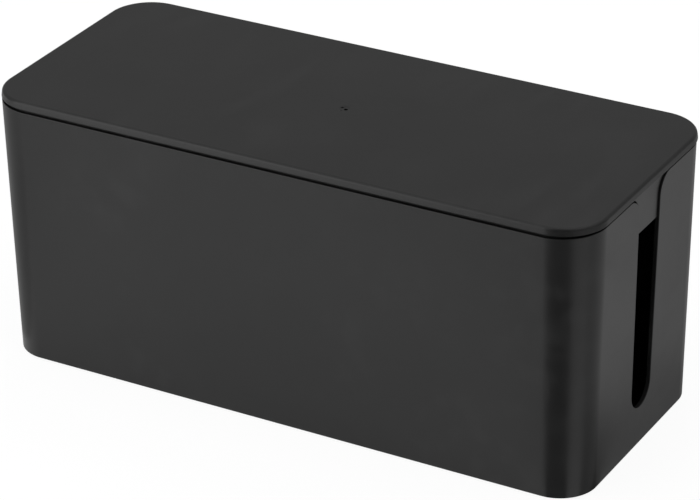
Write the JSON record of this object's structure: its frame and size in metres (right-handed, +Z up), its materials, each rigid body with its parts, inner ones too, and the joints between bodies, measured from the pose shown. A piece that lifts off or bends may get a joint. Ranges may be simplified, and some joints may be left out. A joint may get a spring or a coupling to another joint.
{
  "type": "cable management box",
  "caption": "Deep drafted box with rounded corners, a loose lid and a round-ended cable slot in each end wall, for hiding a power strip and its leads.",
  "frame": {"origin": "centre of the footprint, on the surface that the rubber feet stand on", "axes": "+X along the box towards an end wall, +Y towards the back, +Z up"},
  "size_m": [0.3198, 0.135, 0.141],
  "materials": {
    "tub_plastic": "fine spark-textured black plastic",
    "lid_plastic": "fine spark-textured black plastic",
    "foot_rubber": "soft black rubber"
  },
  "bodies": {
    "tub": {"tub": "tub_plastic", "foot_front_left": "foot_rubber", "foot_front_right": "foot_rubber", "foot_rear_left": "foot_rubber", "foot_rear_right": "foot_rubber"},
    "lid": {"lid": "lid_plastic"}
  },
  "joints": [
    {"name": "lid_lift", "type": "slide", "parent": "tub", "child": "lid", "axis": [0, 0, 1], "range_m": [0, 0.1]}
  ]
}
